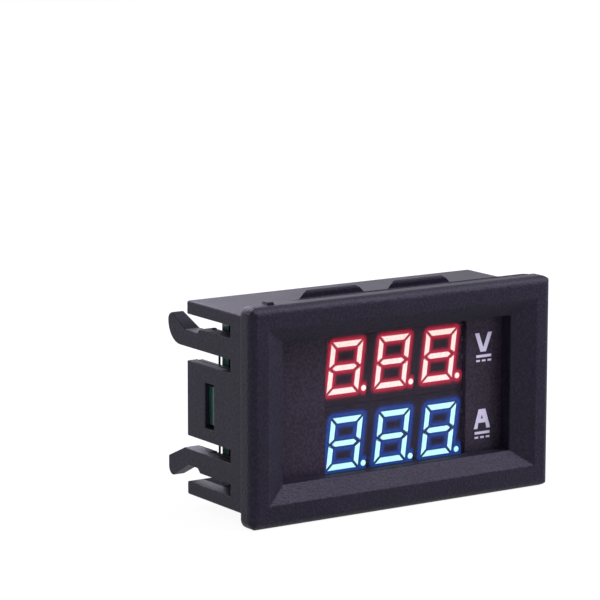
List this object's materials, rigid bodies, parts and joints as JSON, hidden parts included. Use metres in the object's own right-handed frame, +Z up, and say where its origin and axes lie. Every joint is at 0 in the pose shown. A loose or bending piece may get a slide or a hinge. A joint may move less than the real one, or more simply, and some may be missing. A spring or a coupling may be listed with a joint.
{
  "type": "digital panel meter",
  "caption": "Twin digital panel meter: a red and a blue LED display behind a bevelled window in a black snap-in case, with sockets and trimmers on the board behind.",
  "frame": {"origin": "under the middle of the meter's depth and width, level with the bezel's lower edge", "axes": "+X to the right along the face as a reader sees it, +Y back from the face through the panel, +Z up"},
  "size_m": [0.048, 0.0222, 0.029],
  "materials": {
    "case_black": "fine matt moulding texture",
    "smoked_film": "smooth tinted sheet",
    "display_black": "matt potted housing",
    "red_light": "lit diffusing resin",
    "blue_light": "lit diffusing resin",
    "tinned_metal": "tin plate",
    "solder": "bright solder",
    "board_green": "solder mask over fibreglass",
    "socket_white": "natural nylon",
    "trimmer_cream": "ceramic",
    "rotor_brass": "stamped",
    "chip_black": "matt epoxy",
    "tantalum_orange": "moulded epoxy",
    "chip_tan": "fired ceramic"
  },
  "bodies": {
    "meter": {"case": "case_black", "window_film": "smoked_film", "red_display_housing": "display_black", "red_segments": "red_light", "red_display_pins": "tinned_metal", "blue_display_housing": "display_black", "blue_segments": "blue_light", "blue_display_pins": "tinned_metal", "circuit_board": "board_green", "display_solder": "solder", "sense_socket_shroud": "socket_white", "sense_socket_pins": "tinned_metal", "supply_socket_shroud": "socket_white", "supply_socket_pins": "tinned_metal", "voltage_trimmer_base": "trimmer_cream", "current_trimmer_base": "trimmer_cream", "trimmer_terminals": "tinned_metal", "microcontroller_body": "chip_black", "microcontroller_leads": "tinned_metal", "amplifier_body": "chip_black", "amplifier_leads": "tinned_metal", "regulator_body": "chip_black", "regulator_leads": "tinned_metal", "diode_body": "chip_black", "diode_leads": "tinned_metal", "smoothing_capacitor_body": "tantalum_orange", "smoothing_capacitor_leads": "tinned_metal", "chip_resistors": "chip_black", "chip_capacitors": "chip_tan", "chip_ends": "tinned_metal"},
    "voltage_rotor": {"voltage_trimmer_rotor": "rotor_brass"},
    "current_rotor": {"current_trimmer_rotor": "rotor_brass"}
  },
  "joints": [
    {"name": "voltage_trim", "type": "hinge", "parent": "meter", "child": "voltage_rotor", "pos_m": [-0.0162, 0.00285, 0.02282], "axis": [0, 1, 0], "range_deg": [-115, 115]},
    {"name": "current_trim", "type": "hinge", "parent": "meter", "child": "current_rotor", "pos_m": [-0.0106, 0.00285, 0.02282], "axis": [0, 1, 0], "range_deg": [-115, 115]}
  ]
}
